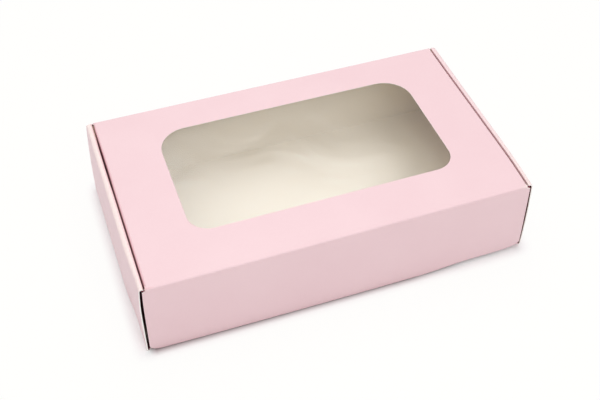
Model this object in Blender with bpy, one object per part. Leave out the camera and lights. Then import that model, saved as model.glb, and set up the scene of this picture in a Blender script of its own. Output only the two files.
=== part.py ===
"""A window box for cannoli, modelled closed: a folding paperboard carton with a film window.

One die-cut sheet of board makes the tray and the lid. The tray's sides roll over a ridge and lock
into the base, the lid is hinged on the back wall, its flap hangs outside the front wall, and its two
side flaps hang inside the tray. A sheet of clear film is glued under the lid's window. Every panel
between two creases is an object of its own.

Metres, +Z up. The origin is the middle of the footprint, on the table. -Y is the front.
"""

import math

import bmesh
import bpy
from mathutils import Vector

# Overall size, outside
BOX_WIDTH = 0.250
BOX_DEPTH = 0.148
BOX_HEIGHT = 0.0585

# Board, folds and the gaps between neighbouring solids
BOARD = 0.0005
FOLD_INSIDE = 0.0005
FOLD_RADIUS = BOARD + FOLD_INSIDE
SEAM = 0.0003
HINGE_SETBACK = 0.00025
FOLD_STEPS = 6
CORNER_STEPS = 12

# Rolled sides: two panels with a pocket between them, where the corner flaps stand
POCKET_GAP = 0.00065
RIDGE_WIDTH = 3 * BOARD + 2 * POCKET_GAP
SIDE_END_GAP = 0.0003
SIDE_FOOT_GAP = 0.0003

# Lock tabs, two on each inner side panel
TAB_LENGTH = 0.030
TAB_PITCH = 0.078
TAB_PLAY = 0.0003
TAB_TIP_GAP = 0.0001
TAB_EASE = 0.0003

# Front wall, and the corner flaps of both end walls
FLAP_WALL_GAP = 0.0005
WALL_TOP_GAP = 0.0003
CORNER_FLAP_LENGTH = 0.038
CORNER_FLAP_FOOT = 0.0013
CORNER_FLAP_TOP_GAP = 0.0018
CORNER_FLAP_TAPER = 0.005
CORNER_FLAP_EASE = 0.004

# Lid and its front flap
LID_SLIT = 0.0008
FLAP_SLIT = 0.0011
FLAP_FLOOR_GAP = 0.0006
FLAP_SHOULDER = 0.0017
FLAP_CORNER_WIDTH = 0.005
FLAP_CORNER_HEIGHT = 0.0025

# Side flaps that hang inside from the lid
DUST_FLAP_DEPTH = 0.038
DUST_FLAP_MARGIN = 0.005
DUST_FLAP_TAPER = 0.009
DUST_FLAP_EASE = 0.008

# Window and its film
WINDOW_WIDTH = 0.1735
WINDOW_DEPTH = 0.0915
WINDOW_SIDE_OFFSET = 0.0015
WINDOW_BACK_OFFSET = 0.0037
WINDOW_FRONT_RADIUS = 0.014
WINDOW_BACK_RADIUS = 0.019
FILM = 0.00015
FILM_LAP = 0.008

# Places that several panels share
HALF_WIDTH = BOX_WIDTH / 2
HALF_DEPTH = BOX_DEPTH / 2
LID_UNDERSIDE = BOX_HEIGHT - BOARD
FRONT_CREASE_Y = -(HALF_DEPTH - BOARD)
BACK_CREASE_Y = HALF_DEPTH - BOARD
FRONT_WALL_Y = FRONT_CREASE_Y + FLAP_WALL_GAP
RIDGE_INSIDE_X = HALF_WIDTH - RIDGE_WIDTH
LID_HALF_WIDTH = RIDGE_INSIDE_X - LID_SLIT
DUST_CREASE_X = LID_HALF_WIDTH - BOARD
POCKET_FACE_X = HALF_WIDTH - BOARD - POCKET_GAP
WALL_HALF_WIDTH = POCKET_FACE_X - FOLD_RADIUS - SEAM
SIDE_HALF_LENGTH = BACK_CREASE_Y - SIDE_END_GAP
FOLD_LENGTH = FOLD_RADIUS * math.pi / 2
WINDOW_LEFT = WINDOW_SIDE_OFFSET - WINDOW_WIDTH / 2
WINDOW_RIGHT = WINDOW_SIDE_OFFSET + WINDOW_WIDTH / 2
WINDOW_FRONT = WINDOW_BACK_OFFSET - WINDOW_DEPTH / 2
WINDOW_BACK = WINDOW_BACK_OFFSET + WINDOW_DEPTH / 2

X_AXIS = Vector((1, 0, 0))
Y_AXIS = Vector((0, 1, 0))
Z_AXIS = Vector((0, 0, 1))

PINK = (0.90, 0.66, 0.69, 1)
CREAM = (0.88, 0.84, 0.76, 1)
CLEAR = (0.95, 0.96, 0.96, 0.25)


def clear_scene():
    for old in list(bpy.data.objects):
        bpy.data.objects.remove(old, do_unlink=True)


def board_material(name, colour, roughness):
    """One panel's own finish: unvarnished board, or film where the colour is see-through."""
    material = bpy.data.materials.new(name)
    material.use_nodes = True
    shader = material.node_tree.nodes["Principled BSDF"]
    shader.inputs["Base Color"].default_value = colour
    shader.inputs["Roughness"].default_value = roughness
    shader.inputs["Metallic"].default_value = 0
    shader.inputs["Alpha"].default_value = colour[3]
    material.diffuse_color = colour
    return material


def outline(corners):
    """The points of a closed outline. A corner is (u, v), or (u, v, before, after) to round it.

    before and after are how far from the corner the rounding starts and ends, along each edge.
    """
    points = []
    for index, corner in enumerate(corners):
        here = Vector(corner[:2])
        if len(corner) == 2:
            points.append(here)
            continue
        back = (Vector(corners[index - 1][:2]) - here).normalized()
        ahead = (Vector(corners[(index + 1) % len(corners)][:2]) - here).normalized()
        for step in range(CORNER_STEPS + 1):
            turn = step / CORNER_STEPS * math.pi / 2
            on_back = back * corner[2] * (1 - math.sin(turn))
            on_ahead = ahead * corner[3] * (1 - math.cos(turn))
            points.append(here + on_back + on_ahead)
    return points


def rectangle(low_u, high_u, low_v, high_v):
    return outline([(low_u, low_v), (high_u, low_v), (high_u, high_v), (low_u, high_v)])


def fold_line(legs):
    """The outer face of a folded strip, seen end on: stations of (u, point, inward normal).

    A leg is a straight length, or "fold" for a quarter turn towards the strip's inner face.
    """
    point, heading = Vector((0, 0)), Vector((1, 0))
    inward = Vector((0, 1))
    stations = [(0.0, point.copy(), inward.copy())]
    for leg in legs:
        start_u = stations[-1][0]
        if leg == "fold":
            centre = point + inward * FOLD_RADIUS
            for step in range(1, FOLD_STEPS + 1):
                turn = step / FOLD_STEPS * math.pi / 2
                normal = inward * math.cos(turn) - heading * math.sin(turn)
                station_u = start_u + FOLD_RADIUS * turn
                stations.append((station_u, centre - normal * FOLD_RADIUS, normal))
            heading, inward = inward, -heading
        else:
            stations.append((start_u + leg, point + heading * leg, inward.copy()))
        point = stations[-1][1].copy()
    return stations


def on_fold_line(stations, u):
    """The point and inward normal at distance u along the strip."""
    for before, after in zip(stations, stations[1:]):
        if u <= after[0] or after is stations[-1]:
            share = (u - before[0]) / (after[0] - before[0])
            return before[1].lerp(after[1], share), before[2].lerp(after[2], share)


def cut_sheet(loops, stations, thickness):
    """The flat blank of a panel: filled between its loops, given its thickness, scored at its folds."""
    blank = bmesh.new()
    for loop in loops:
        corners = [blank.verts.new((u, v, 0)) for u, v in loop]
        for corner, following in zip(corners, corners[1:] + corners[:1]):
            blank.edges.new((corner, following))
    bmesh.ops.triangle_fill(blank, edges=blank.edges[:], use_beauty=True)
    lifted = bmesh.ops.extrude_face_region(blank, geom=blank.faces[:])["geom"]
    top = [item for item in lifted if isinstance(item, bmesh.types.BMVert)]
    bmesh.ops.translate(blank, verts=top, vec=Z_AXIS * thickness)
    for station in stations[1:-1]:
        everything = blank.verts[:] + blank.edges[:] + blank.faces[:]
        bmesh.ops.bisect_plane(
            blank, geom=everything, plane_co=X_AXIS * station[0], plane_no=X_AXIS
        )
    return blank


def panel(name, loops, origin, along, inward, across, look, legs=None, pivot=None, thickness=BOARD):
    """One panel: cut flat as (u, v), folded along its legs, and stood up on its three axes.

    along is the strip's first heading, inward the side its thickness grows to, across the creases'
    direction. legs is for the folded ones. The object's origin is its pivot.
    """
    stations = fold_line(legs or [BOX_WIDTH])
    blank = cut_sheet(loops, stations, thickness)
    pivot = Vector(pivot or (0, 0, 0))
    for vert in blank.verts:
        u, v, depth = vert.co
        point, normal = on_fold_line(stations, u)
        place = point + normal * depth
        vert.co = Vector(origin) + along * place.x + inward * place.y + across * v - pivot
    bmesh.ops.recalc_face_normals(blank, faces=blank.faces[:])
    if blank.calc_volume(signed=True) < 0:
        bmesh.ops.reverse_faces(blank, faces=blank.faces[:])
    mesh = bpy.data.meshes.new(name)
    blank.to_mesh(mesh)
    blank.free()
    colour, roughness = look
    mesh.materials.append(board_material(name + "_finish", colour, roughness))
    solid = bpy.data.objects.new(name, mesh)
    solid.location = pivot
    return solid


OUTSIDE = (PINK, 0.6)
INSIDE = (CREAM, 0.8)
WINDOW = (CLEAR, 0.1)


def tab_centres():
    """The places of a side's two lock tabs, from the middle of the inner side panel."""
    middle = (FRONT_WALL_Y + BOARD + BACK_CREASE_Y) / 2
    return [middle - TAB_PITCH / 2, middle + TAB_PITCH / 2]


def make_base():
    edge_x = HALF_WIDTH - FOLD_RADIUS - SEAM
    front = FRONT_WALL_Y + FOLD_RADIUS + SEAM
    back = HALF_DEPTH - FOLD_RADIUS - SEAM
    loops = [rectangle(-edge_x, edge_x, front, back)]
    slot_low = RIDGE_INSIDE_X - TAB_PLAY
    slot_high = RIDGE_INSIDE_X + BOARD + TAB_PLAY
    half_slot = TAB_LENGTH / 2 + TAB_PLAY
    for centre in tab_centres():
        loops.append(rectangle(slot_low, slot_high, centre - half_slot, centre + half_slot))
        loops.append(rectangle(-slot_high, -slot_low, centre - half_slot, centre + half_slot))
    return panel("base_panel", loops, (0, 0, 0), X_AXIS, Z_AXIS, Y_AXIS, INSIDE)


def make_front_wall():
    """The front wall stops under the lid, and steps down at its ends to pass under the ridges."""
    top = FOLD_LENGTH + LID_UNDERSIDE - WALL_TOP_GAP - FOLD_RADIUS
    shoulder = FOLD_LENGTH + BOX_HEIGHT - FOLD_RADIUS - SEAM - FOLD_RADIUS
    step_x = RIDGE_INSIDE_X - SEAM
    loop = outline([
        (0, -WALL_HALF_WIDTH),
        (shoulder, -WALL_HALF_WIDTH),
        (shoulder, -step_x),
        (top, -step_x),
        (top, step_x),
        (shoulder, step_x),
        (shoulder, WALL_HALF_WIDTH),
        (0, WALL_HALF_WIDTH),
    ])
    start = (0, FRONT_WALL_Y + FOLD_RADIUS, 0)
    legs = ["fold", top - FOLD_LENGTH]
    return panel("front_wall", [loop], start, -Y_AXIS, Z_AXIS, X_AXIS, OUTSIDE, legs)


def make_back_wall():
    """The back wall stops short of the lid's crease, by the board that folds back on it."""
    top = FOLD_LENGTH + LID_UNDERSIDE - BOARD - HINGE_SETBACK - FOLD_RADIUS
    loop = rectangle(0, top, -WALL_HALF_WIDTH, WALL_HALF_WIDTH)
    start = (0, HALF_DEPTH - FOLD_RADIUS, 0)
    legs = ["fold", top - FOLD_LENGTH]
    return panel("back_wall", [loop], start, Y_AXIS, Z_AXIS, X_AXIS, OUTSIDE, legs)


def make_corner_flap(end, side):
    """A wall's end, folded back into the pocket between a side's two panels."""
    end_name, wall_y, toward_middle = end
    side_name, sign = side
    foot = CORNER_FLAP_FOOT
    top = BOX_HEIGHT - CORNER_FLAP_TOP_GAP
    tip = FOLD_LENGTH + CORNER_FLAP_LENGTH
    loop = outline([
        (0, foot),
        (FOLD_LENGTH, foot),
        (tip, foot + CORNER_FLAP_TAPER, CORNER_FLAP_EASE, CORNER_FLAP_EASE),
        (tip, top - CORNER_FLAP_TAPER, CORNER_FLAP_EASE, CORNER_FLAP_EASE),
        (FOLD_LENGTH, top),
        (0, top),
    ])
    start = (sign * (POCKET_FACE_X - FOLD_RADIUS), wall_y, 0)
    name = f"corner_flap_{end_name}_{side_name}"
    legs = ["fold", CORNER_FLAP_LENGTH]
    return panel(name, [loop], start, X_AXIS * sign, toward_middle, Z_AXIS, INSIDE, legs)


def make_side_outer(side):
    """The outer side panel, folded up from the base."""
    side_name, sign = side
    height = BOX_HEIGHT - 2 * FOLD_RADIUS - SEAM
    loop = rectangle(0, FOLD_LENGTH + height, -SIDE_HALF_LENGTH, SIDE_HALF_LENGTH)
    start = (sign * (HALF_WIDTH - FOLD_RADIUS), 0, 0)
    name = f"side_outer_{side_name}"
    return panel(name, [loop], start, X_AXIS * sign, Z_AXIS, Y_AXIS, OUTSIDE, ["fold", height])


def make_ridge(side):
    """The narrow strip along the top of a side, with a fold down each long edge."""
    side_name, sign = side
    flat = RIDGE_WIDTH - 2 * FOLD_RADIUS
    loop = rectangle(0, 2 * FOLD_LENGTH + flat, -SIDE_HALF_LENGTH, SIDE_HALF_LENGTH)
    start = (sign * HALF_WIDTH, 0, BOX_HEIGHT - FOLD_RADIUS)
    legs = ["fold", flat, "fold"]
    name = f"ridge_{side_name}"
    return panel(name, [loop], start, Z_AXIS, X_AXIS * -sign, Y_AXIS, OUTSIDE, legs)


def make_side_inner(side):
    """The inner side panel hangs from the ridge, and its lock tabs stand in the base's slots."""
    side_name, sign = side
    foot = BOARD + SIDE_FOOT_GAP
    top = BOX_HEIGHT - FOLD_RADIUS - SEAM
    front = FRONT_WALL_Y + BOARD + SEAM
    corners = [(front, top), (front, foot)]
    for centre in tab_centres():
        low, high = centre - TAB_LENGTH / 2, centre + TAB_LENGTH / 2
        corners += [
            (low, foot),
            (low + TAB_EASE, TAB_TIP_GAP),
            (high - TAB_EASE, TAB_TIP_GAP),
            (high, foot),
        ]
    corners += [(SIDE_HALF_LENGTH, foot), (SIDE_HALF_LENGTH, top)]
    start = (sign * RIDGE_INSIDE_X, 0, 0)
    name = f"side_inner_{side_name}"
    return panel(name, [outline(corners)], start, Y_AXIS, X_AXIS * sign, Z_AXIS, OUTSIDE)


def make_lid():
    """The lid's sides step in along the side flaps' creases, and its window is one rounded hole."""
    front = FRONT_CREASE_Y + HINGE_SETBACK
    back = BACK_CREASE_Y - HINGE_SETBACK
    crease_x = DUST_CREASE_X - HINGE_SETBACK
    crease_front = FRONT_CREASE_Y + DUST_FLAP_MARGIN - SEAM
    crease_back = BACK_CREASE_Y - DUST_FLAP_MARGIN + SEAM
    right = [
        (LID_HALF_WIDTH, front),
        (LID_HALF_WIDTH, crease_front),
        (crease_x, crease_front),
        (crease_x, crease_back),
        (LID_HALF_WIDTH, crease_back),
        (LID_HALF_WIDTH, back),
    ]
    left = [(-x, y) for x, y in reversed(right)]
    window = outline([
        (WINDOW_LEFT, WINDOW_FRONT, WINDOW_FRONT_RADIUS, WINDOW_FRONT_RADIUS),
        (WINDOW_RIGHT, WINDOW_FRONT, WINDOW_FRONT_RADIUS, WINDOW_FRONT_RADIUS),
        (WINDOW_RIGHT, WINDOW_BACK, WINDOW_BACK_RADIUS, WINDOW_BACK_RADIUS),
        (WINDOW_LEFT, WINDOW_BACK, WINDOW_BACK_RADIUS, WINDOW_BACK_RADIUS),
    ])
    loops = [outline(right + left), window]
    hinge = (0, BACK_CREASE_Y, LID_UNDERSIDE)
    start = (0, 0, BOX_HEIGHT)
    return panel("lid_panel", loops, start, X_AXIS, -Z_AXIS, Y_AXIS, OUTSIDE, pivot=hinge)


def make_film():
    loop = rectangle(
        WINDOW_LEFT - FILM_LAP, WINDOW_RIGHT + FILM_LAP, WINDOW_FRONT - FILM_LAP, WINDOW_BACK + FILM_LAP
    )
    start = (0, 0, LID_UNDERSIDE - SEAM)
    hinge = (0, BACK_CREASE_Y, LID_UNDERSIDE)
    return panel(
        "window_film", [loop], start, X_AXIS, -Z_AXIS, Y_AXIS, WINDOW, pivot=hinge, thickness=FILM
    )


def make_front_flap():
    """The lid's front flap: relieved at its top corners, rounded at its bottom ones."""
    half = HALF_WIDTH - BOARD - FLAP_SLIT
    top = LID_UNDERSIDE - HINGE_SETBACK
    shoulder = LID_UNDERSIDE - FLAP_SHOULDER
    foot = FLAP_FLOOR_GAP
    loop = outline([
        (-LID_HALF_WIDTH, top),
        (-half, shoulder),
        (-half, foot, FLAP_CORNER_HEIGHT, FLAP_CORNER_WIDTH),
        (half, foot, FLAP_CORNER_WIDTH, FLAP_CORNER_HEIGHT),
        (half, shoulder),
        (LID_HALF_WIDTH, top),
    ])
    crease = (0, FRONT_CREASE_Y, LID_UNDERSIDE)
    start = (0, -HALF_DEPTH, 0)
    return panel("front_flap", [loop], start, X_AXIS, Y_AXIS, Z_AXIS, OUTSIDE, pivot=crease)


def make_dust_flap(side):
    """A side flap of the lid, tapered so that it clears the end walls as the lid swings."""
    side_name, sign = side
    top = LID_UNDERSIDE - HINGE_SETBACK
    tip = LID_UNDERSIDE - DUST_FLAP_DEPTH
    front = FRONT_CREASE_Y + DUST_FLAP_MARGIN
    back = BACK_CREASE_Y - DUST_FLAP_MARGIN
    loop = outline([
        (front, top),
        (front + DUST_FLAP_TAPER, tip, DUST_FLAP_EASE, DUST_FLAP_EASE),
        (back - DUST_FLAP_TAPER, tip, DUST_FLAP_EASE, DUST_FLAP_EASE),
        (back, top),
    ])
    crease = (sign * DUST_CREASE_X, 0, LID_UNDERSIDE)
    start = (sign * LID_HALF_WIDTH, 0, 0)
    name = f"dust_flap_{side_name}"
    return panel(name, [loop], start, Y_AXIS, X_AXIS * -sign, Z_AXIS, INSIDE, pivot=crease)


def carry(parent, children):
    """Each child rides on its parent, and stays where it is."""
    for child in children:
        child.parent = parent
        child.location -= parent.location


def main():
    clear_scene()
    sides = [("left", -1), ("right", 1)]
    front_end = ("front", FRONT_WALL_Y, Y_AXIS)
    back_end = ("back", HALF_DEPTH, -Y_AXIS)

    base = make_base()
    tray = [make_front_wall(), make_back_wall()]
    for side in sides:
        tray += [make_side_outer(side), make_ridge(side), make_side_inner(side)]
        tray += [make_corner_flap(end, side) for end in (front_end, back_end)]

    lid = make_lid()
    on_lid = [make_film(), make_front_flap()] + [make_dust_flap(side) for side in sides]

    carton = bpy.data.collections.new("cannoli_box")
    bpy.context.scene.collection.children.link(carton)
    for solid in [base, lid] + tray + on_lid:
        carton.objects.link(solid)
    carry(lid, on_lid)
    carry(base, tray + [lid])


main()
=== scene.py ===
"""The looks of the window box: creased board with its folds and bows, and clear film."""

import math

import bmesh
import bpy
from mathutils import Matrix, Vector


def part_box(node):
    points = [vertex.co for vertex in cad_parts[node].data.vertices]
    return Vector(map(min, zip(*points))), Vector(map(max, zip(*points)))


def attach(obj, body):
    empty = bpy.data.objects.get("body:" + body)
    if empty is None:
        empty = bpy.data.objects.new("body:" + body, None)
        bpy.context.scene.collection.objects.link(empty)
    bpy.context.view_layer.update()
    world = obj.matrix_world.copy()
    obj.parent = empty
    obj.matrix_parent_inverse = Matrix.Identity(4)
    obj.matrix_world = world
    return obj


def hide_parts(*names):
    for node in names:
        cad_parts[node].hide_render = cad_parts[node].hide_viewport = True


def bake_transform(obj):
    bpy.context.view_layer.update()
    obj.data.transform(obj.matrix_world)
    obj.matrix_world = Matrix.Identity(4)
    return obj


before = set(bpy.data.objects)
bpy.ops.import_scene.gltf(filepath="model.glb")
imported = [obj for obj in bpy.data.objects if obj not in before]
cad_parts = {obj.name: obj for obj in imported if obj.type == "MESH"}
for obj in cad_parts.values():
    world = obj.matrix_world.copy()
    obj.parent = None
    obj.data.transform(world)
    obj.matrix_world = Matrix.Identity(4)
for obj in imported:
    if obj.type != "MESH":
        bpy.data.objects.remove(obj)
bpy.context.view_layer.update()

MM = 0.001
X_AXIS = Vector((1, 0, 0))
Y_AXIS = Vector((0, 1, 0))
Z_AXIS = Vector((0, 0, 1))

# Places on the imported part
LID_LOW, LID_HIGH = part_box("lid_panel")
RIDGE_LOW, RIDGE_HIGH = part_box("ridge_right")
FRONT_WALL_LOW, FRONT_WALL_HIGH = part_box("front_wall")
FLAP_LOW, FLAP_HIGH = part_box("front_flap")
DUST_LOW, DUST_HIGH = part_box("dust_flap_right")
FILM_LOW, FILM_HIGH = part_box("window_film")
INNER_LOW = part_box("side_inner_right")[0]
BACK_WALL_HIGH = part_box("back_wall")[1]

HALF_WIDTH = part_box("side_outer_right")[1].x
POCKET_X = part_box("corner_flap_front_right")[1].x
TOP = LID_HIGH.z
UNDERSIDE = LID_LOW.z
BOARD = TOP - UNDERSIDE
FOLD = 2 * BOARD
FRONT = FLAP_LOW.y
BACK = BACK_WALL_HIGH.y
FRONT_CREASE = FRONT + BOARD
BACK_CREASE = BACK - BOARD
SIDE_Y = RIDGE_HIGH.y
WALL_Y = FRONT_WALL_LOW.y

# Slits, rolls and side flaps, a little wider and softer than the solids have them
SLIT_EASE = 0.04 * MM
LID_X = LID_HIGH.x - SLIT_EASE
DUST_X = LID_X - BOARD
DUST_EXTRA = 2.8 * MM
DUST_Y = DUST_HIGH.y + DUST_EXTRA
RIDGE_X = RIDGE_LOW.x + SLIT_EASE
SLIT_MIDDLE = (LID_X + RIDGE_X) / 2
CREASE_REACH = 0.75 * MM
DUST_REACH = {"left": CREASE_REACH, "right": 0.22 * MM}
OUTER_ROLL = {"left": 1.7 * MM, "right": 2.24 * MM}

# The window in the lid, read off the film that laps it
FILM_LAP = 8 * MM
WINDOW_LEFT = FILM_LOW.x + FILM_LAP
WINDOW_RIGHT = FILM_HIGH.x - FILM_LAP
WINDOW_FRONT = FILM_LOW.y + FILM_LAP
WINDOW_BACK = FILM_HIGH.y - FILM_LAP
WINDOW_FRONT_RADIUS = 14 * MM
WINDOW_BACK_RADIUS = 19 * MM


# Materials
# A range is where a ramp starts and ends. A pair of shares or roughnesses is what it goes between

PINK_LOW = (0.820, 0.575, 0.605, 1)
PINK_HIGH = (0.840, 0.600, 0.628, 1)
PINK_MOTTLE = (0.93, 0.74, 0.76, 1)
MOTTLE_RANGE = (0.35, 0.7)
MOTTLE_SHARES = (0, 0.10)
PRINT_ROUGHNESS = (0.38, 0.50)
# Paler pink: print worn along the ridges, and painted light on the lips of the right slit
WORN_AND_LIT_PINK = (0.93, 0.80, 0.755, 1)
WEAR_AND_LIGHT_SHARES = (0.55, 0.95)
FLECK_RANGE = (0.25, 0.62)
# Painted shade: what the print darkens to in the slits and pocket mouths
PAINTED_SHADE_PINK = (0.60, 0.03, 0.07, 1)
PAINTED_DARKEST_SHADE_PINK = (0.10, 0.03, 0.04, 1)
OFF_WHITE_LOW = (0.890, 0.812, 0.672, 1)
OFF_WHITE_HIGH = (0.910, 0.834, 0.702, 1)
FIBRE = (0.85, 0.75, 0.61, 1)
FIBRE_RANGE = (0.35, 0.75)
FIBRE_SHARES = (0, 0.10)
PLAIN_ROUGHNESS = (0.78, 0.92)
FIBRE_STRETCH = (260, 1100, 1100)
NOISE_RANGE = (0.3, 0.7)
PAINTED_SHADE_RANGE = (0.0, 0.6)
PAINTED_DARKEST_SHADE_RANGE = (0.6, 1.0)
# Painted shade on the plain side
PAINTED_SHADE_OFF_WHITE = (0.12, 0.02, 0.035, 1)
RAW_EDGE_LOW = (0.94, 0.89, 0.85, 1)
RAW_EDGE_HIGH = (0.97, 0.94, 0.91, 1)
# Painted shade on the cut edge
PAINTED_SHADE_RAW_EDGE = (0.46, 0.15, 0.21, 1)
FILM_TINT = (0.985, 0.985, 0.98, 1)
FILM_HAZE = 0.145
FILM_HAZE_RIGHT = 0.08
HAZE_FADE_START = 30 * MM
HAZE_FADE_END = 80 * MM
FILM_SHEEN_ROUGHNESS = 0.18
FACING_POWER = 5


def new_material(name):
    material = bpy.data.materials.new(name)
    material.use_nodes = True
    tree = material.node_tree
    return material, tree, tree.nodes["Principled BSDF"]


def add(tree, kind, **values):
    """A node, with its plain properties and input values set by name."""
    node = tree.nodes.new(kind)
    for name, value in values.items():
        if name in node.inputs:
            node.inputs[name].default_value = value
        else:
            setattr(node, name, value)
    return node


def mix_colour(tree, factor, first, second):
    """A colour mix. first and second are colours or sockets, factor a number or a socket."""
    node = tree.nodes.new("ShaderNodeMix")
    node.data_type = "RGBA"
    sockets = (node.inputs[0], node.inputs[6], node.inputs[7])
    for socket, value in zip(sockets, (factor, first, second)):
        if isinstance(value, bpy.types.NodeSocket):
            tree.links.new(value, socket)
        else:
            socket.default_value = value
    return node.outputs[2]


def ramp(tree, socket, low, high, from_value=0.0, to_value=1.0):
    """Maps a number from low..high to from_value..to_value, clamped."""
    node = add(tree, "ShaderNodeMapRange")
    node.inputs["From Min"].default_value = low
    node.inputs["From Max"].default_value = high
    node.inputs["To Min"].default_value = from_value
    node.inputs["To Max"].default_value = to_value
    tree.links.new(socket, node.inputs["Value"])
    return node.outputs["Result"]


def noise(tree, where, scale, detail=2.0, roughness=0.5, distortion=0.0):
    node = add(tree, "ShaderNodeTexNoise")
    node.inputs["Scale"].default_value = scale
    node.inputs["Detail"].default_value = detail
    node.inputs["Roughness"].default_value = roughness
    node.inputs["Distortion"].default_value = distortion
    tree.links.new(where, node.inputs["Vector"])
    return node.outputs["Fac"]


def attribute(tree, name):
    return add(tree, "ShaderNodeAttribute", attribute_name=name).outputs["Fac"]


def maths(tree, operation, first, second):
    """One sum of two numbers, each a socket or a plain value."""
    node = add(tree, "ShaderNodeMath", operation=operation)
    for socket, value in zip(node.inputs, (first, second)):
        if isinstance(value, bpy.types.NodeSocket):
            tree.links.new(value, socket)
        else:
            socket.default_value = value
    return node.outputs[0]


def product(tree, first, second):
    return maths(tree, "MULTIPLY", first, second)


def vector_maths(tree, operation, first, second=(0, 0, 0)):
    """One sum of a vector socket and a fixed vector."""
    node = add(tree, "ShaderNodeVectorMath", operation=operation)
    tree.links.new(first, node.inputs[0])
    node.inputs[1].default_value = second
    return node.outputs["Value" if operation == "LENGTH" else "Vector"]


def bump(tree, height, strength, distance, base=None):
    node = add(tree, "ShaderNodeBump")
    node.inputs["Strength"].default_value = strength
    node.inputs["Distance"].default_value = distance
    tree.links.new(height, node.inputs["Height"])
    if base is not None:
        tree.links.new(base, node.inputs["Normal"])
    return node.outputs["Normal"]


def printed_board():
    """Coated board printed pale pink, paler where a fold has cracked the print along the ridges,
    lifted by painted light on the lips of the right slit, and darkened by painted shade in the slits
    and pocket mouths.
    """
    material, tree, shader = new_material("printed_board")
    where = tree.nodes.new("ShaderNodeTexCoord").outputs["Object"]
    cloud = noise(tree, where, scale=26, detail=3)
    colour = mix_colour(tree, ramp(tree, cloud, *NOISE_RANGE), PINK_LOW, PINK_HIGH)
    mottle = noise(tree, where, scale=900, detail=4, roughness=0.6)
    colour = mix_colour(tree, ramp(tree, mottle, *MOTTLE_RANGE, *MOTTLE_SHARES), colour, PINK_MOTTLE)
    # Worn print along the ridges, and painted light on the right slit's lips
    fold = attribute(tree, "fold")
    spots = noise(tree, where, scale=420, detail=5, roughness=0.65)
    flecks = ramp(tree, spots, *FLECK_RANGE)
    wear_and_light = product(tree, fold, ramp(tree, flecks, 0, 1, *WEAR_AND_LIGHT_SHARES))
    colour = mix_colour(tree, wear_and_light, colour, WORN_AND_LIT_PINK)
    # Painted shade in the slits and pocket mouths
    painted_shade = attribute(tree, "painted_shade")
    colour = mix_colour(tree, ramp(tree, painted_shade, *PAINTED_SHADE_RANGE), colour, PAINTED_SHADE_PINK)
    colour = mix_colour(tree, ramp(tree, painted_shade, *PAINTED_DARKEST_SHADE_RANGE), colour, PAINTED_DARKEST_SHADE_PINK)
    tree.links.new(colour, shader.inputs["Base Color"])
    tree.links.new(ramp(tree, mottle, *NOISE_RANGE, *PRINT_ROUGHNESS), shader.inputs["Roughness"])
    shader.inputs["Specular IOR Level"].default_value = 0.8
    grain = noise(tree, where, scale=1500, detail=3, roughness=0.6)
    swell = noise(tree, where, scale=60, detail=2)
    rough = bump(tree, grain, strength=0.20, distance=0.06 * MM)
    wavy = bump(tree, swell, strength=0.12, distance=0.6 * MM, base=rough)
    crack = bump(tree, product(tree, flecks, fold), strength=0.5, distance=0.10 * MM, base=wavy)
    tree.links.new(crack, shader.inputs["Normal"])
    return material


def plain_board():
    """The uncoated inner side: warm off-white, with fibres, darkened by painted shade in the slits
    and pocket mouths.
    """
    material, tree, shader = new_material("plain_board")
    where = tree.nodes.new("ShaderNodeTexCoord").outputs["Object"]
    cloud = noise(tree, where, scale=30, detail=4)
    colour = mix_colour(tree, ramp(tree, cloud, *NOISE_RANGE), OFF_WHITE_LOW, OFF_WHITE_HIGH)
    stretch = add(tree, "ShaderNodeMapping")
    stretch.inputs["Scale"].default_value = FIBRE_STRETCH
    tree.links.new(where, stretch.inputs["Vector"])
    along = stretch.outputs["Vector"]
    fibre = noise(tree, along, scale=1, detail=5, roughness=0.65, distortion=0.4)
    colour = mix_colour(tree, ramp(tree, fibre, *FIBRE_RANGE, *FIBRE_SHARES), colour, FIBRE)
    # Painted shade in the slits and pocket mouths
    painted_shade = attribute(tree, "painted_shade")
    colour = mix_colour(tree, ramp(tree, painted_shade, *PAINTED_SHADE_RANGE), colour, PAINTED_SHADE_OFF_WHITE)
    tree.links.new(colour, shader.inputs["Base Color"])
    tree.links.new(ramp(tree, fibre, *NOISE_RANGE, *PLAIN_ROUGHNESS), shader.inputs["Roughness"])
    shader.inputs["Specular IOR Level"].default_value = 0.3
    tree.links.new(bump(tree, fibre, strength=0.06, distance=0.08 * MM), shader.inputs["Normal"])
    return material


def cut_board():
    """The die-cut edge: the board's pale middle, a little rough, darkened by painted shade in the
    slits and pocket mouths.
    """
    material, tree, shader = new_material("cut_board")
    where = tree.nodes.new("ShaderNodeTexCoord").outputs["Object"]
    torn = noise(tree, where, scale=1600, detail=4, roughness=0.7)
    colour = mix_colour(tree, ramp(tree, torn, *NOISE_RANGE), RAW_EDGE_LOW, RAW_EDGE_HIGH)
    # Painted shade in the slits and pocket mouths
    painted_shade = attribute(tree, "painted_shade")
    colour = mix_colour(tree, ramp(tree, painted_shade, *PAINTED_SHADE_RANGE), colour, PAINTED_SHADE_RAW_EDGE)
    tree.links.new(colour, shader.inputs["Base Color"])
    shader.inputs["Roughness"].default_value = 0.85
    shader.inputs["Specular IOR Level"].default_value = 0.3
    tree.links.new(bump(tree, torn, strength=0.4, distance=0.08 * MM), shader.inputs["Normal"])
    return material


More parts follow.
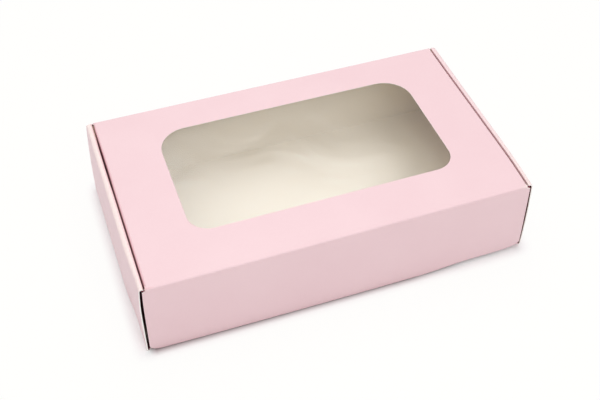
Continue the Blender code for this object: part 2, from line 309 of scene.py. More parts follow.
def clear_film():
    """Clear film: see-through, a little less hazy at its right, glossier at a glancing view."""
    material, tree, shader = new_material("clear_film")
    tree.nodes.remove(shader)
    where = tree.nodes.new("ShaderNodeTexCoord").outputs["Object"]
    waves = noise(tree, where, scale=22, detail=2, roughness=0.45, distortion=0.6)
    ripple = bump(tree, waves, strength=0.45, distance=1.2 * MM)
    place = add(tree, "ShaderNodeSeparateXYZ")
    tree.links.new(where, place.inputs[0])
    haze = ramp(
        tree, place.outputs["X"], HAZE_FADE_START, HAZE_FADE_END, FILM_HAZE, FILM_HAZE_RIGHT
    )
    facing = add(tree, "ShaderNodeLayerWeight", Blend=0.5).outputs["Facing"]
    share = maths(tree, "MAXIMUM", haze, maths(tree, "POWER", facing, FACING_POWER))
    clear = add(tree, "ShaderNodeBsdfTransparent", Color=FILM_TINT)
    sheen = add(tree, "ShaderNodeBsdfGlossy", Color=(1, 1, 1, 1), Roughness=FILM_SHEEN_ROUGHNESS)
    tree.links.new(ripple, sheen.inputs["Normal"])
    both = tree.nodes.new("ShaderNodeMixShader")
    tree.links.new(share, both.inputs[0])
    tree.links.new(clear.outputs[0], both.inputs[1])
    tree.links.new(sheen.outputs[0], both.inputs[2])
    tree.links.new(both.outputs[0], tree.nodes["Material Output"].inputs["Surface"])
    return material


def clear_back():
    """The film's lower face and edges, which add no sheen of their own."""
    material, tree, shader = new_material("clear_film_back")
    tree.nodes.remove(shader)
    clear = add(tree, "ShaderNodeBsdfTransparent", Color=FILM_TINT)
    tree.links.new(clear.outputs[0], tree.nodes["Material Output"].inputs["Surface"])
    return material


PRINT = printed_board()
PLAIN = plain_board()
CUT = cut_board()
CLEAR = clear_film()
CLEAR_BACK = clear_back()


# Board, as sheets that are cut flat, folded and then bowed

FOLD_STEPS = 10
CORNER_STEPS = 16
CELL = 6 * MM
EDGE_CUTS = (0.8 * MM, 1.6 * MM, 3.0 * MM)
EDGE_CUT_ROOM = 4
LEAST_CELL = 0.05 * MM
LONG_LEG = 1.0
SHARP_ANGLE = math.radians(35)
BLEND_REACH_SHARE = 0.35

# How near two points, a point and a cut, and two places on a strip count as the same
TOUCHING = 1e-7
ON_CUT = 1e-6
ROUNDING = 1e-9


def outline(corners):
    """The points of a closed outline. A corner is (u, v), or (u, v, before, after) to round it."""
    points = []
    for index, corner in enumerate(corners):
        here = Vector(corner[:2])
        if len(corner) == 2:
            points.append(here)
            continue
        back = (Vector(corners[index - 1][:2]) - here).normalized()
        ahead = (Vector(corners[(index + 1) % len(corners)][:2]) - here).normalized()
        for step in range(CORNER_STEPS + 1):
            turn = step / CORNER_STEPS * math.pi / 2
            on_back = back * corner[2] * (1 - math.sin(turn))
            on_ahead = ahead * corner[3] * (1 - math.cos(turn))
            points.append(here + on_back + on_ahead)
    return points


def rectangle(low_u, high_u, low_v, high_v):
    return outline([(low_u, low_v), (high_u, low_v), (high_u, high_v), (low_u, high_v)])


def fold_line(legs):
    """The outer face of a folded strip, seen end on: stations of (u, point, inward normal).

    A leg is a straight length, or ("turn", radius) for a quarter turn towards the inner face.
    """
    point, heading = Vector((0, 0)), Vector((1, 0))
    inward = Vector((0, 1))
    stations = [(0.0, point.copy(), inward.copy())]
    for leg in legs:
        start_u = stations[-1][0]
        if isinstance(leg, tuple):
            radius = leg[1]
            centre = point + inward * radius
            for step in range(1, FOLD_STEPS + 1):
                turn = step / FOLD_STEPS * math.pi / 2
                normal = inward * math.cos(turn) - heading * math.sin(turn)
                stations.append((start_u + radius * turn, centre - normal * radius, normal))
            heading, inward = inward, -heading
        else:
            stations.append((start_u + leg, point + heading * leg, inward.copy()))
        point = stations[-1][1].copy()
    return stations


def on_fold_line(stations, u):
    for before, after in zip(stations, stations[1:]):
        if u <= after[0] + ROUNDING or after is stations[-1]:
            share = (u - before[0]) / (after[0] - before[0])
            return before[1].lerp(after[1], share), before[2].lerp(after[2], share)


def spread(low, high, extra=()):
    """Places of the cuts across a sheet: even cells, closer near its ends, and the extra ones."""
    span = high - low
    cells = max(2, round(span / CELL))
    places = [low + span * step / cells for step in range(1, cells)]
    for near in EDGE_CUTS:
        if span > EDGE_CUT_ROOM * near:
            places += [low + near, high - near]
    places += [place for place in extra if low < place < high]
    places.sort()
    kept = []
    for place in places:
        if not kept or place - kept[-1] > LEAST_CELL:
            kept.append(place)
    return kept


def cut_sheet(loops, u_cuts, v_cuts):
    """A flat sheet filled between its loops, cut into cells along both directions."""
    blank = bmesh.new()
    for loop in loops:
        corners = [blank.verts.new((u, v, 0)) for u, v in loop]
        for corner, following in zip(corners, corners[1:] + corners[:1]):
            blank.edges.new((corner, following))
    bmesh.ops.triangle_fill(blank, edges=blank.edges[:], use_beauty=True)
    for cuts, normal in ((u_cuts, X_AXIS), (v_cuts, Y_AXIS)):
        for place in cuts:
            everything = blank.verts[:] + blank.edges[:] + blank.faces[:]
            bmesh.ops.bisect_plane(
                blank, geom=everything, dist=TOUCHING, plane_co=normal * place, plane_no=normal
            )

    def on_cut(edge):
        for axis, cuts in ((0, u_cuts), (1, v_cuts)):
            first, second = edge.verts[0].co[axis], edge.verts[1].co[axis]
            along_cut = abs(first - second) < ON_CUT
            if along_cut and any(abs(first - place) < ON_CUT for place in cuts):
                return True
        return False

    diagonals = [edge for edge in blank.edges if len(edge.link_faces) == 2 and not on_cut(edge)]
    bmesh.ops.dissolve_edges(blank, edges=diagonals, use_verts=False)
    return blank


# How the box stands: not quite square, as a folded carton is
# A stretch is a start and a length, over which something eases from nothing to all

END_LEAN = 1.2 * MM
END_LEAN_START = 35 * MM
END_LEAN_LENGTH = 39 * MM
END_LEAN_DROP_SHARE = 0.5
BACK_TWIST = -0.45 * MM
TWIST_TO_FRONT = 1.3 * MM
LEAST_TWIST = -0.22 * MM
LIFT = 2.3 * MM
LIFT_TO_RIGHT = (52 * MM, 36 * MM)
LIFT_TO_FRONT = (36 * MM, 32 * MM)
NOSE_OUT = 0.4 * MM
NOSE_DROP = 0.45 * MM
NOSE_TO_FRONT = (70.3 * MM, 3.4 * MM)

RIGHT_OUT = 0.35 * MM
RIGHT_OUT_STEP = 0.45 * MM
RIGHT_OUT_STRETCHES = ((-70 * MM, 50 * MM), (-10 * MM, 80 * MM))
RIGHT_BELLY = 0.6 * MM
RIGHT_BELLY_TO_FRONT = (20 * MM, 45 * MM)
LEFT_TOP_OUT = 0.2 * MM
LEFT_TOP_STEP = 1.0 * MM
LEFT_TOP_STRETCH = (-73 * MM, 35 * MM)
LEFT_BACK_STEP = 0.2 * MM
LEFT_BACK_STRETCH = (40 * MM, 30 * MM)
LEFT_FOOT_OUT = 1.6 * MM
LEFT_FOOT_STEP = 1.5 * MM
LEFT_FOOT_STRETCH = (-50 * MM, 28 * MM)
LEFT_DROP_SHARE = 0.5
LEFT_DROP_STRETCH = (-60 * MM, 40 * MM)


def clamp(value):
    return min(1.0, max(0.0, value))


def smooth(value):
    value = clamp(value)
    return value * value * (3 - 2 * value)


def eased(place, stretch):
    start, length = stretch
    return smooth((place - start) / length)


def side_of(spot):
    return "left" if spot.x < 0 else "right"


def settle(spot, shell):
    """Moves a point of the square box to where it is on the standing one.

    The lid and ridges twist a little, the front ends lean, the front crease hangs a little low
    and forward, and one front foot lifts. The left lean is the shell's alone: the walls inside it
    stand square.
    """
    height = clamp(spot.z / TOP)
    frontness = (BACK - spot.y) / (BACK - FRONT)
    front_end = clamp((-spot.y - END_LEAN_START) / END_LEAN_LENGTH) ** 2
    across = spot.x / HALF_WIDTH
    if across >= 0:
        sideways = -END_LEAN * across * height ** 2
    elif shell:
        drop = clamp((1 - height) / END_LEAN_DROP_SHARE)
        sideways = END_LEAN * across * drop * (2 - drop)
    else:
        sideways = 0.0
    twist = height * max(LEAST_TWIST, across * (BACK_TWIST + TWIST_TO_FRONT * frontness))
    lift = LIFT * eased(spot.x, LIFT_TO_RIGHT) * eased(-spot.y, LIFT_TO_FRONT) * (1 - height) ** 2
    nose = eased(-spot.y, NOSE_TO_FRONT) * height ** 3
    return spot + Vector((sideways * front_end, -NOSE_OUT * nose, twist + lift - NOSE_DROP * nose))


def side_lean(spot):
    """How far a rolled side's outer board stands out at a point, more at its foot on the left."""
    height = clamp(spot.z / TOP)
    if side_of(spot) == "right":
        out = RIGHT_OUT
        for stretch in RIGHT_OUT_STRETCHES:
            out += RIGHT_OUT_STEP * eased(spot.y, stretch)
        belly = 4 * height * (1 - height) * RIGHT_BELLY
        return out + belly * eased(-spot.y, RIGHT_BELLY_TO_FRONT)
    top = LEFT_TOP_OUT + LEFT_TOP_STEP * eased(spot.y, LEFT_TOP_STRETCH)
    top -= LEFT_BACK_STEP * eased(spot.y, LEFT_BACK_STRETCH)
    foot = LEFT_FOOT_OUT + LEFT_FOOT_STEP * eased(spot.y, LEFT_FOOT_STRETCH)
    reach = LEFT_DROP_SHARE + (1 - LEFT_DROP_SHARE) * eased(spot.y, LEFT_DROP_STRETCH)
    drop = clamp((1 - height) / reach)
    return top + (foot - top) * drop * (2 - drop)


# Where the print is paler: worn pale along the rolled sides, and painted light on the lips of the
# right slit, lifting the slit's shade

WEAR_MIDDLE = (RIDGE_X + HALF_WIDTH) / 2
WEAR_OFFSET = 0.2 * MM
WEAR_HALF_WIDTH = 0.8 * MM
WEAR_FADE = 1.1 * MM
WEAR_DOWN_SHARE = 0.35
WEAR_TO_FRONT = (-10 * MM, 70 * MM)
RIGHT_WEAR_SHARES = (0.35, 0.80)
LIP_LIGHT_SHARES = (0.3, 0.9)
LIP_REACH = 1.2 * MM
LIP_FADE = 1.0 * MM
LIP_DEPTH = 2.5 * MM


def from_back_to_front(shares, frontness):
    back_share, front_share = shares
    return back_share + (front_share - back_share) * frontness


def wear_and_lip_light(spot):
    """1 along the ridges, where the print is worn, less on the right one; on the lips of its slit in
    front, painted light.
    """
    across = max(0.0, abs(abs(spot.x) - WEAR_MIDDLE - WEAR_OFFSET) - WEAR_HALF_WIDTH)
    below = max(0.0, TOP - spot.z - WEAR_OFFSET)
    near = clamp(1 - (across + WEAR_DOWN_SHARE * below) / WEAR_FADE)
    if side_of(spot) == "left":
        return near
    frontness = eased(-spot.y, WEAR_TO_FRONT)
    # Painted light on the lips of the right slit, more towards the front, lifting its shade
    lips = clamp((LIP_REACH - abs(spot.x - SLIT_MIDDLE)) / LIP_FADE) * clamp(1 - below / LIP_DEPTH)
    return max(
        near * from_back_to_front(RIGHT_WEAR_SHARES, frontness),
        lips * from_back_to_front(LIP_LIGHT_SHARES, frontness),
    )


# Painted shade: where the board is darkened, in the slits beside the lid and in the mouths of the
# pockets, where shade falls

POCKET_SHADE_SHARES = {"left": 1.0, "right": 0.65}
POCKET_HEADROOM = 1.7 * MM
POCKET_END = 14 * MM
POCKET_FADE = 8 * MM
WALL_END_REACH = 0.3 * MM
WALL_FACE_REACH = 0.1 * MM
RAW_EDGE_REACH = 0.4 * MM
SLIT_SHADE_SHARES = {"left": 0.45, "right": 0.0225}
SLIT_EDGE_SHARE = 0.3
SLIT_EDGE_REACH = 1.3 * MM
SLIT_INSIDE_REACH = 0.75 * MM
SLIT_INSIDE_START = 0.3 * MM
SLIT_INSIDE_FADE = 1.2 * MM
SLIT_DEPTH = 3.5 * MM
SLIT_DEPTH_FADE = 1.5 * MM


def in_pocket_mouth(spot):
    between_boards = abs(spot.x) > RIDGE_X + BOARD / 2
    on_wall_end = abs(spot.x) > POCKET_X - FOLD - WALL_END_REACH and abs(spot.y - WALL_Y) < BOARD / 2
    behind_wall_face = spot.y > WALL_Y - WALL_FACE_REACH
    return (between_boards or on_wall_end) and behind_wall_face and spot.z < TOP - POCKET_HEADROOM


def pocket_painted_shade(spot):
    """Painted shade: 1 in a side pocket's mouth, but 0 on the side's outer face and on the left raw
    edge.
    """
    on_outer_face = abs(spot.x) > HALF_WIDTH - BOARD / 2
    on_raw_edge = spot.y < RAW_EDGE_REACH - SIDE_Y and abs(spot.x) > HALF_WIDTH - FOLD
    if on_outer_face or (on_raw_edge and side_of(spot) == "left"):
        return 0.0
    from_mouth = spot.y + SIDE_Y
    return POCKET_SHADE_SHARES[side_of(spot)] * clamp((POCKET_END - from_mouth) / POCKET_FADE)


def slit_painted_shade(spot):
    """Painted shade, part way down the slits beside the lid, up to 1 in the mouths of the side
    pockets.
    """
    if in_pocket_mouth(spot):
        return pocket_painted_shade(spot)
    if spot.y < FRONT_CREASE:
        return 0.0
    beside = abs(abs(spot.x) - SLIT_MIDDLE) - (RIDGE_X - LID_X) / 2
    edge = clamp(1 - beside / SLIT_EDGE_REACH) * SLIT_EDGE_SHARE
    down = clamp((TOP - SLIT_INSIDE_START - spot.z) / SLIT_INSIDE_FADE)
    inside = clamp(1 - beside / SLIT_INSIDE_REACH) * down
    shallow = clamp((spot.z - TOP + SLIT_DEPTH) / SLIT_DEPTH_FADE)
    return max(edge, inside) * shallow * SLIT_SHADE_SHARES[side_of(spot)]


# Board, as finished pieces

def finish_piece(name, blank, node, body, materials, bow=None, shell=True):
    """The finished object: bowed and settled, smooth but for its cut edges, riding on its body when
    that is one body's name; a crease stays fixed where it is built.
    """
    # Each point's print wear and painted light, and its painted shade
    wear_and_light_at = [wear_and_lip_light(vert.co) for vert in blank.verts]
    painted_shade_at = [slit_painted_shade(vert.co) for vert in blank.verts]
    wear_and_light = blank.verts.layers.float.new("fold")
    painted_shade = blank.verts.layers.float.new("painted_shade")
    for vert, point_wear_and_light, depth in zip(blank.verts, wear_and_light_at, painted_shade_at):
        vert[wear_and_light], vert[painted_shade] = point_wear_and_light, depth
        spot = bow(vert.co.copy()) if bow else vert.co
        vert.co = settle(spot, shell)
    bmesh.ops.remove_doubles(blank, verts=blank.verts[:], dist=TOUCHING)
    bmesh.ops.recalc_face_normals(blank, faces=blank.faces[:])
    if blank.calc_volume(signed=True) < 0:
        bmesh.ops.reverse_faces(blank, faces=blank.faces[:])
    mesh = bpy.data.meshes.new(name)
    blank.to_mesh(mesh)
    blank.free()
    for material in materials:
        mesh.materials.append(material)
    mesh.shade_smooth()
    mesh.set_sharp_from_angle(angle=SHARP_ANGLE)
    piece = bpy.data.objects.new(name, mesh)
    bpy.context.scene.collection.objects.link(piece)
    if node:
        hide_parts(node)
    if isinstance(body, str):
        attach(piece, body)
    else:
        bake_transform(piece)
    return piece


def board(name, node, body, loops, origin, along, inward, across, legs=None, bow=None,
          thickness=None, shell=True):
    """One panel of board. Its outer face is printed, its inner face plain and its edges cut."""
    thickness = thickness or BOARD
    points = [point for loop in loops for point in loop]
    low_u, high_u = min(p.x for p in points), max(p.x for p in points)
    low_v, high_v = min(p.y for p in points), max(p.y for p in points)
    stations = fold_line(legs or [LONG_LEG])
    u_cuts = spread(low_u, high_u, [station[0] for station in stations[1:-1]])
    v_cuts = spread(low_v, high_v)
    blank = cut_sheet(loops, u_cuts, v_cuts)
    for face in blank.faces:
        face.material_index = 0
    lifted = bmesh.ops.extrude_face_region(blank, geom=blank.faces[:], use_keep_orig=True)["geom"]
    top_verts = {item for item in lifted if isinstance(item, bmesh.types.BMVert)}
    top_faces = {item for item in lifted if isinstance(item, bmesh.types.BMFace)}
    bmesh.ops.translate(blank, verts=list(top_verts), vec=Z_AXIS * thickness)
    for face in blank.faces:
        on_top = sum(vert in top_verts for vert in face.verts)
        if face in top_faces:
            face.material_index = 1
        elif on_top:
            face.material_index = 2
        else:
            face.material_index = 0
    for vert in blank.verts:
        u, v, depth = vert.co
        point, normal = on_fold_line(stations, u)
        place = point + normal * depth
        vert.co = Vector(origin) + along * place.x + inward * place.y + across * v
    return finish_piece(name, blank, node, body, [PRINT, PLAIN, CUT], bow, shell)


def crease(name, body_pair, axis_point, run, out_a, out_b, bow=None, shell=True,
           bend=CREASE_REACH):
    """The bent strip over a hinge line. out_a and out_b are the outward normals of its two panels.

    It starts on the first body's panel, turns about the hinge line and ends on the second body's.
    """
    def arc(radius):
        centre = axis_point - (out_a + out_b) * bend
        turns = [step / FOLD_STEPS * math.pi / 2 for step in range(FOLD_STEPS + 1)]
        outward = [out_a * math.cos(turn) + out_b * math.sin(turn) for turn in turns]
        return [centre + direction * radius for direction in outward]

    outer = arc(bend + BOARD)
    inner = arc(bend)[::-1]
    section = outer + inner
    cells = max(2, round(run.length / CELL))
    blank = bmesh.new()
    rows = []
    for step in range(cells + 1):
        shift = run * (step / cells - 0.5)
        rows.append([blank.verts.new(point + shift) for point in section])
    for row, following in zip(rows, rows[1:]):
        for index in range(len(section)):
            after = (index + 1) % len(section)
            face = blank.faces.new((row[index], row[after], following[after], following[index]))
            if index < len(outer) - 1:
                face.material_index = 0
            elif index in (len(outer) - 1, len(section) - 1):
                face.material_index = 2
            else:
                face.material_index = 1
    for row in (rows[0], rows[-1]):
        blank.faces.new(row).material_index = 2
    toward_b = (out_b - out_a).normalized()
    reach = BLEND_REACH_SHARE * (BOARD + bend)
    ends = (axis_point - toward_b * reach, axis_point + toward_b * reach)
    return finish_piece(name, blank, None, (*body_pair, *ends), [PRINT, PLAIN, CUT], bow, shell)


# How each panel bows

RIGHT_LIP = -0.11 * MM
RIGHT_LIP_STEP = -0.04 * MM
RIGHT_LIP_TO_FRONT = (5 * MM, 60 * MM)
LEFT_LIP = -0.03 * MM
LEFT_LIP_STEP = 0.22 * MM
LEFT_LIP_STRETCH = (2 * MM, 20 * MM)
LEFT_LIP_TO_FRONT = (-72 * MM, 30 * MM)
BASE_BOW_START = 95 * MM
LID_BOW_START = 100 * MM
LID_BOW_LENGTH = 18 * MM
CRUSH_START = 2 * MM
CRUSH_FADE = 6 * MM
INNER_CRUSH = 0.36 * MM
OUTER_CRUSH = 0.06 * MM
FLAP_BELLY = 0.9 * MM
FLAP_BELLY_POWER = 1.5


def outwards(spot, distance):
    """The spot moved away from the box's middle, to its left or right."""
    sign = -1 if side_of(spot) == "left" else 1
    return spot + X_AXIS * (sign * distance)


def lip_bow(spot):
    """How a slit's lips bow, most in the back half of the left one.

    At the lips only its size counts, and each stands back from the slit by it. Across the ridge
    a negative one takes from the side's lean.
    """
    if side_of(spot) == "right":
        return RIGHT_LIP + RIGHT_LIP_STEP * eased(-spot.y, RIGHT_LIP_TO_FRONT)
    wide = eased(spot.y, LEFT_LIP_STRETCH) * eased(-spot.y, LEFT_LIP_TO_FRONT)
    return LEFT_LIP + LEFT_LIP_STEP * wide


def side_bow(spot):
    """A rolled side leans out, less and less across its ridge, where the lip's bow takes over."""
    lip_share = clamp((HALF_WIDTH - abs(spot.x)) / (HALF_WIDTH - RIDGE_X))
    return outwards(spot, abs(side_lean(spot) * (1 - lip_share) + lip_bow(spot) * lip_share))


def base_bow(spot):
    """The base reaches out to the leaning sides."""
    share = clamp((abs(spot.x) - BASE_BOW_START) / (HALF_WIDTH - FOLD - BASE_BOW_START))
    return outwards(spot, side_lean(spot) * share)


def lid_bow(spot):
    """The lid's sides draw in from the slits."""
    share = clamp((abs(spot.x) - LID_BOW_START) / LID_BOW_LENGTH)
    return outwards(spot, -abs(lip_bow(spot)) * share)


def dust_bow(spot):
    """A side flap is crushed thin next to its crease, so that it folds flat under the lid."""
    near = clamp(1 - (UNDERSIDE - spot.z - CRUSH_START) / CRUSH_FADE)
    on_inner_face = abs(spot.x) < LID_X - BOARD / 2
    crush = INNER_CRUSH if on_inner_face else OUTER_CRUSH
    return outwards(lid_bow(spot), crush * near)


def flap_bow(spot):
    """The front flap springs away from the wall along its free edge."""
    across = spot.x / HALF_WIDTH
    down = 1 - clamp(spot.z / TOP)
    return spot - Y_AXIS * FLAP_BELLY * (1 - across ** 2) * down ** FLAP_BELLY_POWER


# The tray

SIDES = [("left", -1), ("right", 1)]
BEND = ("turn", FOLD)
BEND_LENGTH = FOLD * math.pi / 2
BASE_FRONT = WALL_Y + FOLD
BASE_BACK = BACK - FOLD
WALL_HALF = POCKET_X - FOLD
WALL_PLAY = 0.3 * MM
WALL_END_DROP = 1.3 * MM

TAB_LENGTH = 30 * MM
TAB_PITCH = 78 * MM
TAB_PLAY = 0.3 * MM
TAB_EASE = 0.3 * MM
TAB_MIDDLE = (WALL_Y + BOARD + BACK_CREASE) / 2
TABS = [TAB_MIDDLE - TAB_PITCH / 2, TAB_MIDDLE + TAB_PITCH / 2]
INNER_FOOT_GAP = 0.7 * MM

CORNER_FLAP_LENGTH = 38 * MM
CORNER_FLAP_TAPER = 5 * MM
CORNER_FLAP_EASE = 4 * MM


def make_base():
    edge = HALF_WIDTH - FOLD
    loops = [rectangle(-edge, edge, BASE_FRONT, BASE_BACK)]
    for middle in TABS:
        half = TAB_LENGTH / 2 + TAB_PLAY
        low, high = RIDGE_X - TAB_PLAY, RIDGE_X + BOARD + TAB_PLAY
        loops.append(rectangle(low, high, middle - half, middle + half))
        loops.append(rectangle(-high, -low, middle - half, middle + half))
    board("base_board", "base_panel", "tray", loops, (0, 0, 0), X_AXIS, Z_AXIS, Y_AXIS,
          bow=base_bow, shell=False)


def make_walls():
    """The front and back walls. The front one is lower at its ends, under the rolled sides."""
    middle_half = RIDGE_X - WALL_PLAY
    middle_top = BEND_LENGTH + FRONT_WALL_HIGH.z - FOLD
    ends_top = BEND_LENGTH + TOP - FOLD - WALL_END_DROP - FOLD
    loop = outline([
        (0, -WALL_HALF),
        (ends_top, -WALL_HALF),
        (ends_top, -middle_half),
        (middle_top, -middle_half),
        (middle_top, middle_half),
        (ends_top, middle_half),
        (ends_top, WALL_HALF),
        (0, WALL_HALF),
    ])
    board("front_wall_board", "front_wall", "tray", [loop], (0, BASE_FRONT, 0),
          -Y_AXIS, Z_AXIS, X_AXIS, [BEND, LONG_LEG], shell=False)
    loop = rectangle(0, BEND_LENGTH + BACK_WALL_HIGH.z - FOLD, -WALL_HALF, WALL_HALF)
    board("back_wall_board", "back_wall", "tray", [loop], (0, BASE_BACK, 0),
          Y_AXIS, Z_AXIS, X_AXIS, [BEND, LONG_LEG], shell=False)


def make_side(side_name, sign):
    """A rolled side: outer board, ridge, and the inner board with its tabs in the base's slots."""
    outer_roll = OUTER_ROLL[side_name]
    inner_roll = HALF_WIDTH - RIDGE_X - outer_roll
    loop = rectangle(0, BEND_LENGTH + TOP - FOLD - outer_roll, -SIDE_Y, SIDE_Y)
    board(f"side_outer_{side_name}_board", f"side_outer_{side_name}", "tray", [loop],
          (sign * (HALF_WIDTH - FOLD), 0, 0), X_AXIS * sign, Z_AXIS, Y_AXIS, [BEND, LONG_LEG],
          side_bow, shell=False)
    rolls = [("turn", outer_roll), ("turn", inner_roll)]
    loop = rectangle(0, (outer_roll + inner_roll) * math.pi / 2, -SIDE_Y, SIDE_Y)
    board(f"ridge_{side_name}_board", f"ridge_{side_name}", "tray", [loop],
          (sign * HALF_WIDTH, 0, TOP - outer_roll), Z_AXIS, X_AXIS * -sign, Y_AXIS, rolls,
          side_bow, shell=False)
    foot, inner_top = INNER_LOW.z + INNER_FOOT_GAP, TOP - inner_roll
    corners = [(INNER_LOW.y, inner_top), (INNER_LOW.y, foot)]
    for middle in TABS:
        low, high = middle - TAB_LENGTH / 2, middle + TAB_LENGTH / 2
        corners += [
            (low, foot),
            (low + TAB_EASE, INNER_LOW.z),
            (high - TAB_EASE, INNER_LOW.z),
            (high, foot),
        ]
    corners += [(SIDE_Y, foot), (SIDE_Y, inner_top)]
    board(f"side_inner_{side_name}_board", f"side_inner_{side_name}", "tray", [outline(corners)],
          (sign * RIDGE_X, 0, 0), Y_AXIS, X_AXIS * sign, Z_AXIS, bow=side_bow, shell=False)


def make_corner_flaps(side_name, sign):
    """The ends of the front and back walls, folded into the side's pocket."""
    tip = BEND_LENGTH + CORNER_FLAP_LENGTH
    for end_name, wall_y, inward in (("front", WALL_Y, Y_AXIS), ("back", BACK, -Y_AXIS)):
        node = f"corner_flap_{end_name}_{side_name}"
        low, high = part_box(node)
        loop = outline([
            (0, low.z),
            (BEND_LENGTH, low.z),
            (tip, low.z + CORNER_FLAP_TAPER, CORNER_FLAP_EASE, CORNER_FLAP_EASE),
            (tip, high.z - CORNER_FLAP_TAPER, CORNER_FLAP_EASE, CORNER_FLAP_EASE),
            (BEND_LENGTH, high.z),
            (0, high.z),
        ])
        board(f"{node}_board", node, "tray", [loop], (sign * WALL_HALF, wall_y, 0),
              X_AXIS * sign, inward, Z_AXIS, [BEND, LONG_LEG], shell=False)


def make_tray():
    make_base()
    make_walls()
    for side_name, sign in SIDES:
        make_side(side_name, sign)
        make_corner_flaps(side_name, sign)


# The lid

NOTCH_PLAY = 0.3 * MM
FILM_DROP = 0.05 * MM
FILM_THICKNESS = 0.12 * MM

FLAP_SHOULDER = 1.1 * MM
FLAP_SHOULDER_INSET = 0.15 * MM
FLAP_WAIST_SHARES = (0.60, 0.35)
FLAP_WAIST_INSETS = (0.40 * MM, 0.25 * MM)
FLAP_FOOT_INSET = 0.1 * MM
FLAP_FOOT_FLARE = 0.25 * MM
FLAP_LEFT_CORNER = (4.5 * MM, 8 * MM)
FLAP_RIGHT_CORNER = (15 * MM, 4.5 * MM)

DUST_TAPER = 9 * MM
DUST_CORNER = 8 * MM


def make_lid_board():
    front, back = FRONT_CREASE + CREASE_REACH, BACK_CREASE - CREASE_REACH
    notch = DUST_Y + NOTCH_PLAY
    edges = {}
    for side_name, sign in SIDES:
        crease_x = DUST_X - DUST_REACH[side_name]
        edges[side_name] = [
            (sign * LID_X, front),
            (sign * LID_X, -notch),
            (sign * crease_x, -notch),
            (sign * crease_x, notch),
            (sign * LID_X, notch),
            (sign * LID_X, back),
        ]
    edge = outline(edges["right"] + edges["left"][::-1])
    window = outline([
        (WINDOW_LEFT, WINDOW_FRONT, WINDOW_FRONT_RADIUS, WINDOW_FRONT_RADIUS),
        (WINDOW_RIGHT, WINDOW_FRONT, WINDOW_FRONT_RADIUS, WINDOW_FRONT_RADIUS),
        (WINDOW_RIGHT, WINDOW_BACK, WINDOW_BACK_RADIUS, WINDOW_BACK_RADIUS),
        (WINDOW_LEFT, WINDOW_BACK, WINDOW_BACK_RADIUS, WINDOW_BACK_RADIUS),
    ])
    board("lid_board", "lid_panel", "lid", [edge, window], (0, 0, TOP), X_AXIS, -Z_AXIS, Y_AXIS,
          bow=lid_bow)


def make_film():
    """The film under the window. Only its upper face has the sheen."""
    film = rectangle(FILM_LOW.x, FILM_HIGH.x, FILM_LOW.y, FILM_HIGH.y)
    sheet = board("window_film_sheet", "window_film", "lid", [film],
                  (0, 0, UNDERSIDE - FILM_DROP), X_AXIS, -Z_AXIS, Y_AXIS, thickness=FILM_THICKNESS)
    sheet.data.materials.clear()
    sheet.data.materials.append(CLEAR)
    sheet.data.materials.append(CLEAR_BACK)
    for face in sheet.data.polygons:
        face.material_index = 0 if face.normal.z > 0.5 else 1


def make_front_flap():
    """The front flap, cut a little uneven at its left and with a flared foot at its right."""
    half, top = FLAP_HIGH.x, UNDERSIDE - CREASE_REACH
    waist = [
        (inset - half, share * TOP) for share, inset in zip(FLAP_WAIST_SHARES, FLAP_WAIST_INSETS)
    ]
    loop = outline([
        (-LID_X, top),
        (FLAP_SHOULDER_INSET - half, top - FLAP_SHOULDER),
        *waist,
        (FLAP_FOOT_INSET - half, FLAP_LOW.z, *FLAP_LEFT_CORNER),
        (half + FLAP_FOOT_FLARE, FLAP_LOW.z, *FLAP_RIGHT_CORNER),
        (half, top - FLAP_SHOULDER),
        (LID_X, top),
    ])
    board("front_flap_board", "front_flap", "front_flap", [loop], (0, FRONT, 0),
          X_AXIS, Y_AXIS, Z_AXIS, bow=flap_bow)


def make_dust_flap(side_name, sign):
    """A side flap and the crease that it hangs from."""
    body = f"dust_flap_{side_name}"
    reach = DUST_REACH[side_name]
    tip, top = DUST_LOW.z, UNDERSIDE - reach
    loop = outline([
        (-DUST_Y, top),
        (-DUST_Y + DUST_TAPER, tip, DUST_CORNER, DUST_CORNER),
        (DUST_Y - DUST_TAPER, tip, DUST_CORNER, DUST_CORNER),
        (DUST_Y, top),
    ])
    board(f"dust_flap_{side_name}_board", f"dust_flap_{side_name}", body, [loop],
          (sign * LID_X, 0, 0), Y_AXIS, X_AXIS * -sign, Z_AXIS, bow=dust_bow, shell=False)
    crease(f"dust_crease_{side_name}", ("lid", body), Vector((sign * DUST_X, 0, UNDERSIDE)),
           Y_AXIS * 2 * DUST_Y, Z_AXIS, X_AXIS * sign, lid_bow, shell=False, bend=reach)


def make_lid():
    make_lid_board()
    make_film()
    make_front_flap()
    for side_name, sign in SIDES:
        make_dust_flap(side_name, sign)
    crease("back_crease", ("tray", "lid"), Vector((0, BACK_CREASE, UNDERSIDE)),
           X_AXIS * 2 * LID_X, Y_AXIS, Z_AXIS)
    crease("front_crease", ("lid", "front_flap"), Vector((0, FRONT_CREASE, UNDERSIDE)),
           X_AXIS * 2 * LID_X, Z_AXIS, -Y_AXIS)


# The floor, lights and camera

FLOOR_HALF = 6
PAPER = (0.95, 0.95, 0.95, 1)
PAPER_GLOW = (1, 0.995, 0.98, 1)
FLAP_SHADE = (0.40, 0.325, 0.335, 1)

# The shade at the flap's foot. Behind it and at its right it fades from a start to an end
FLAP_SHADE_REACH = 5 * MM
FLAP_SHADE_UNDER = 0.2 * MM
FLAP_SHADE_BEHIND = (5 * MM, 20 * MM)
FLAP_SHADE_LEFT = 4 * MM
FLAP_SHADE_RIGHT = (45 * MM, 85 * MM)

# The paper burns out with the distance from the box's foot
BURNT_SHARE = 0.92
BURNT_START = 0.3 * MM
BURNT_END = 9 * MM
FOOT_SHIFT = 0.9 * MM
FOOT_MARGIN = 1.5 * MM

